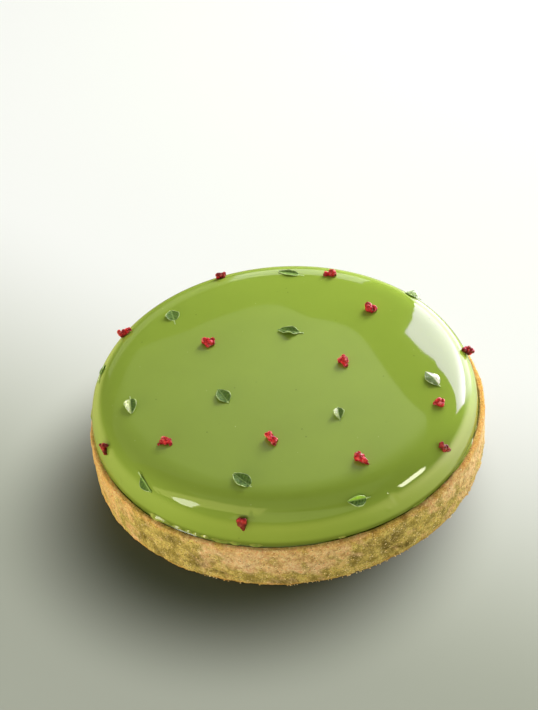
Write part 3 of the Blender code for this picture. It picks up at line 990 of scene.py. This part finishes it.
def raspberryMaterial():
    n = Nodes("dried raspberry")
    colour = n.mix(n.spread(n.noise(1100, 3, 0.6), 0.35, 0.65), *crumbCut["mottle"])
    for name, (strength, tone) in crumbCut["tones"].items():
        colour = n.mix(n.times(n.attribute(name), strength), colour, tone)
    normal = n.bump(n.noise(2200), 0.3, 0.0002)
    n.finish(Base_Color=colour, Roughness=0.35, Normal=normal, Specular_IOR_Level=0.25)
    return n.finish(Coat_Weight=0.2, Coat_Roughness=0.07)


def fusedLobes(lobes):  # one closed skin round all the balls
    shape = bmesh.new()
    for centre, radius in lobes:
        placed = Matrix.Translation(centre)
        bmesh.ops.create_icosphere(shape, subdivisions=3, radius=radius, matrix=placed)
    lump = meshObject("lump", shape)
    mesh = lump.data
    skin = lump.modifiers.new("skin", "REMESH")
    skin.mode = "VOXEL"
    skin.voxel_size = crumbCut["voxel"]
    bpy.context.view_layer.update()
    seen = lump.evaluated_get(bpy.context.evaluated_depsgraph_get())
    skinned = bpy.data.meshes.new_from_object(seen)
    shape = bmesh.new()
    shape.from_mesh(skinned)
    bpy.data.objects.remove(lump)
    bpy.data.meshes.remove(skinned)
    bpy.data.meshes.remove(mesh)
    axes = {f"use_axis_{axis}": True for axis in "xyz"}
    for _ in range(3):
        bmesh.ops.smooth_vert(shape, verts=shape.verts, factor=0.5, **axes)
    return shape


def crumbBalls(lobes):
    high, share, least, shrunk = crumbCut["fillIn"]
    balls = []
    for x, y, z, radius in lobes:
        balls.append((Vector((x, y, z)) * mm, radius * mm + crumbCut["plump"]))
        if z > high * radius:
            low = Vector((x, y, max(z * share, radius * least)))
            balls.append((low * mm, radius * shrunk * mm + crumbCut["plump"]))
    return balls


def makeCrumb(number, placing, material):
    reach, angle, darkness, lobes = placing
    shape = fusedLobes(crumbBalls(lobes))
    layers = addLayers(shape, "dark", "crease", "ridge_powder_and_highlight")
    shape.normal_update()
    placed = frameOnFilling(reach, angle)
    shift = Vector((number * 7.3, number * 3.1, 0))  # each crumb has its own noise
    lumpDepth, lumpLength = crumbCut["lump"]
    creaseDepth, creaseLength = crumbCut["crease"]
    gritDepth, gritLength = crumbCut["grit"]
    moved = []
    for vertex in shape.verts:
        point = vertex.co
        lump = noise.noise(point / lumpLength + shift)
        fold = smoothStep(0.13, 0, abs(noise.noise(point / creaseLength + shift * 2)))
        grit = noise.noise(point / gritLength + shift)
        moved.append(point + vertex.normal * (lumpDepth * lump - creaseDepth * fold + gritDepth * grit))
        sheltered = smoothStep(*crumbCut["shelter"], point.z)
        patch = noise.noise(point / crumbCut["patchLength"] + shift * 3)
        dark = darkness + (0.8 + 0.4 * darkness) * patch
        # pale powder and painted highlight on the raised lumps
        ridgePowderAndHighlight = smoothStep(0.1, 0.5, lump + 0.3 * grit)
        vertex[layers["dark"]] = 0.9 * min(max(dark, 0), 1)
        # painted shade in the creases and on the low part under the crumb
        vertex[layers["crease"]] = min((0.55 + 0.35 * darkness) * fold + 0.6 * sheltered, 0.92)
        vertex[layers["ridge_powder_and_highlight"]] = ridgePowderAndHighlight * (1 - fold) * (1 - 0.6 * darkness)
    for vertex, point in zip(shape.verts, moved):
        point.z = max(point.z - crumbCut["sunk"], -crumbCut["sunk"])
        vertex.co = placed @ point
    nameEnd = f"{number:02d}"
    addPiece("raspberry_crumb_" + nameEnd, shape, material, "raspberry", "raspberry_piece_" + nameEnd)


raspberryLook = raspberryMaterial()
for crumbNumber, crumbPlacing in crumbs.items():
    makeCrumb(crumbNumber, crumbPlacing, raspberryLook)
report("raspberry crumbs made")


# Leaves: small herb leaves with a pale rim, lying on the glaze or stuck in it

leaves = {
    # distance from the middle in mm and angle, turn of the tip, length, width, stem, fold, lift
    # and wave in mm, then of the left and right halves, seen from the stem, their share of the
    # width and how pale they are with painted light on the lit half, and last how wet the leaf is
    1: (64, 84.5, 73, 9.4, 3.5, 2.4, 0.4, 0.0, 0.2, (1, 1), (0.45, 0.1), 0),
    2: (60, 137, -36, 6.6, 5.8, 2.6, 0.5, 0.2, 0.5, (1, 1), (0.0, 0.15), 0),
    3: (24.0, 80.5, 84, 9.2, 4.6, 1.8, 0.3, 0.3, 1.1, (1, 1), (0.0, 0.12), 0),
    4: (74.6, 39, 128, 6.6, 5.6, 0.8, -2.3, 0.0, 0.2, (1, 1), (0.7, 0.9), 0.9),
    5: (60, 349, 132, 8.4, 5.4, 1.0, -1.0, 0.8, 0.7, (1, 1), (0.1, 1.0), 1),
    6: (62, 192.5, 82, 8.8, 4.7, 1.6, 1.1, 0.4, 0.25, (1, 1), (0.0, 1.0), 0.5),
    7: (27, 207.5, -92, 8.6, 5.8, 0.6, 0.6, 0.2, 0.45, (1, 1), (0.0, 0.0), 0),
    8: (34.5, 307, 146, 6.2, 4.3, 1.0, 1.4, 0.3, 0.3, (1, 1), (0.6, 0.0), 0.5),
    9: (62, 253, -120, 8.6, 5.6, 0.8, 0.5, 0.5, 0.6, (1, 1), (0.0, 0.0), 0),
    10: (75, 289, -97, 7.6, 5.4, 1.6, 1.3, 0.3, 0.2, (1, 0.55), (0.0, 1.0), 0.2),
    11: (77, 223.5, 66, 7.6, 5.0, 2.2, 0.7, 0.0, 0.2, (0.15, 1), (1.0, 0.0), 0),
    12: (76, 168, -95, 6.0, 2.3, 4.4, 0.3, 0.0, 0.2, (1, 1), (0.6, 0.6), 0),
}
leafCut = {
    "thickness": 0.28 * mm,
    "gap": 0.1 * mm,  # between its underside and the glaze
    "stemWidth": 0.45 * mm,
    "rimRise": 0.16 * mm,
    "cells": (60, 28),
    "midrib": (0.20 * mm, 0.08 * mm),  # half width, rise
    "sideVein": (0.15 * mm, -0.05 * mm),
    "branches": (5, 0.10, 0.17, 0.16),  # how many, first place, step, slant
    "tones": {
        "mottle": ((0.032, 0.085, 0.012), (0.125, 0.235, 0.030)),
        "vein": (0.30, 0.45, 0.12),
        "rim": (0.62, 0.76, 0.34),
    },
}


def leafMaterial(name, roughness, coat, paleLitTone):
    n = Nodes(name)
    tones = leafCut["tones"]
    colour = n.mix(n.spread(n.noise(1100, 3, 0.6), 0.3, 0.7), *tones["mottle"])
    # painted light: the lit half of a leaf is paler, and the wet and glassy looks are painted pale as a
    # glint
    pale = n.times(n.attribute("pale"), n.spread(n.noise(800), 0.38, 0.52, 0.7, 1))
    colour = n.mix(pale, colour, paleLitTone)
    colour = n.mix(n.times(n.attribute("vein"), 0.7), colour, tones["vein"])
    rim = n.times(n.attribute("rim"), n.spread(n.noise(500), 0.40, 0.60, 0.35, 1))
    colour = n.mix(rim, colour, tones["rim"])
    normal = n.bump(n.noise(1300, 3, 0.6), 0.6, 0.0003)
    n.finish(Base_Color=colour, Roughness=roughness, Normal=normal, Specular_IOR_Level=0.3)
    return n.finish(Coat_Weight=coat, Coat_Roughness=0.06)


def veinsAt(inBlade, across, halfWidth, length):  # shares of the midrib and of a side vein
    count, first, step, slant = leafCut["branches"]
    midrib = math.exp(-((across * halfWidth / leafCut["midrib"][0]) ** 2))
    sideVein = 0
    for branch in range(count):
        off = (inBlade - (first + step * branch) - slant * abs(across)) * length * mm
        sideVein = max(sideVein, math.exp(-((off / leafCut["sideVein"][0]) ** 2)))
    return midrib, sideVein * smoothStep(0.95, 0.7, abs(across)) * smoothStep(0, 0.1, inBlade)


def makeLeaf(number, placing, material):
    reach, angle, turn, length, width, stem, fold, lift, wave, halves, paleAndLitShares, _ = placing
    shape = grid(leafCut["cells"])
    layers = addLayers(shape, "vein", "rim", "pale")
    stemShare = stem / (stem + length)
    placed = frameOnFilling(reach, angle, turn)
    for vertex in shape.verts:
        along, across = vertex.co.x + 0.5, vertex.co.y * 2
        inBlade = min(max((along - stemShare) / (1 - stemShare), 0), 1)
        uneven = noise.noise(Vector((inBlade * 4, 3 * math.copysign(1, across), number)))
        half = smoothStep(-0.06, 0.06, across)
        share = (halves[0] * half + halves[1] * (1 - half)) * (1 + 0.07 * uneven)
        outline = width / 2 * math.sin(math.pi * inBlade ** 0.8) ** 0.75
        halfWidth = max(outline * share * mm, leafCut["stemWidth"] / 2)
        spread = halfWidth / (width / 2 * mm)
        crumple = noise.fractal(Vector((inBlade * 3.5, across * 1.2, number * 5)), 1, 2, 2)
        rise = (max(-fold, 0) + fold * abs(across) ** 1.4) * spread ** 2
        rise += wave * (0.6 + crumple) * abs(across) * spread ** 2
        midrib, sideVein = veinsAt(inBlade, across, halfWidth, length)
        veins = leafCut["midrib"][1] * midrib + leafCut["sideVein"][1] * sideVein
        rim = smoothStep(0.88, 0.98, abs(across)) * smoothStep(0.02, 0.1, inBlade)
        up = leafCut["gap"] + (rise + lift * inBlade) * mm + leafCut["rimRise"] * rim
        up += veins * smoothStep(0, 0.05, inBlade)
        lengthwise = (along * (stem + length) - stem - length / 2) * mm
        vertex.co = placed @ Vector((lengthwise, across * halfWidth, up))
        vertex[layers["vein"]] = max(midrib, 0.5 * sideVein)
        vertex[layers["rim"]] = max(rim, 0.9 * smoothStep(0.06, 0.0, inBlade))
        vertex[layers["pale"]] = paleAndLitShares[0] * half + paleAndLitShares[1] * (1 - half)
    piece = addPiece(f"herb_leaf_{number:02d}", shape, material, "leaf", f"leaf_{number:02d}")
    thick = piece.modifiers.new("thickness", "SOLIDIFY")
    thick.thickness = leafCut["thickness"]
    thick.offset = 1


# each look's pale tone is painted light for the lit halves, near white on the wet look as a painted
# glint and pale green on the glassy one as a painted sheen
leafLooks = {
    0: leafMaterial("herb leaf", 0.62, 0, (0.31, 0.54, 0.09)),
    0.2: leafMaterial("bright herb leaf", 0.6, 0, (0.46, 0.80, 0.06)),
    0.5: leafMaterial("damp herb leaf", 0.5, 0.3, (0.58, 0.68, 0.25)),
    0.9: leafMaterial("glassy herb leaf with painted sheen", 0.3, 1, (0.56, 0.76, 0.30)),
    1: leafMaterial("wet herb leaf with painted glint", 0.25, 1, (1.0, 1.0, 0.86)),
}
for leafNumber, leafPlacing in leaves.items():
    makeLeaf(leafNumber, leafPlacing, leafLooks[leafPlacing[-1]])
report("leaves made")
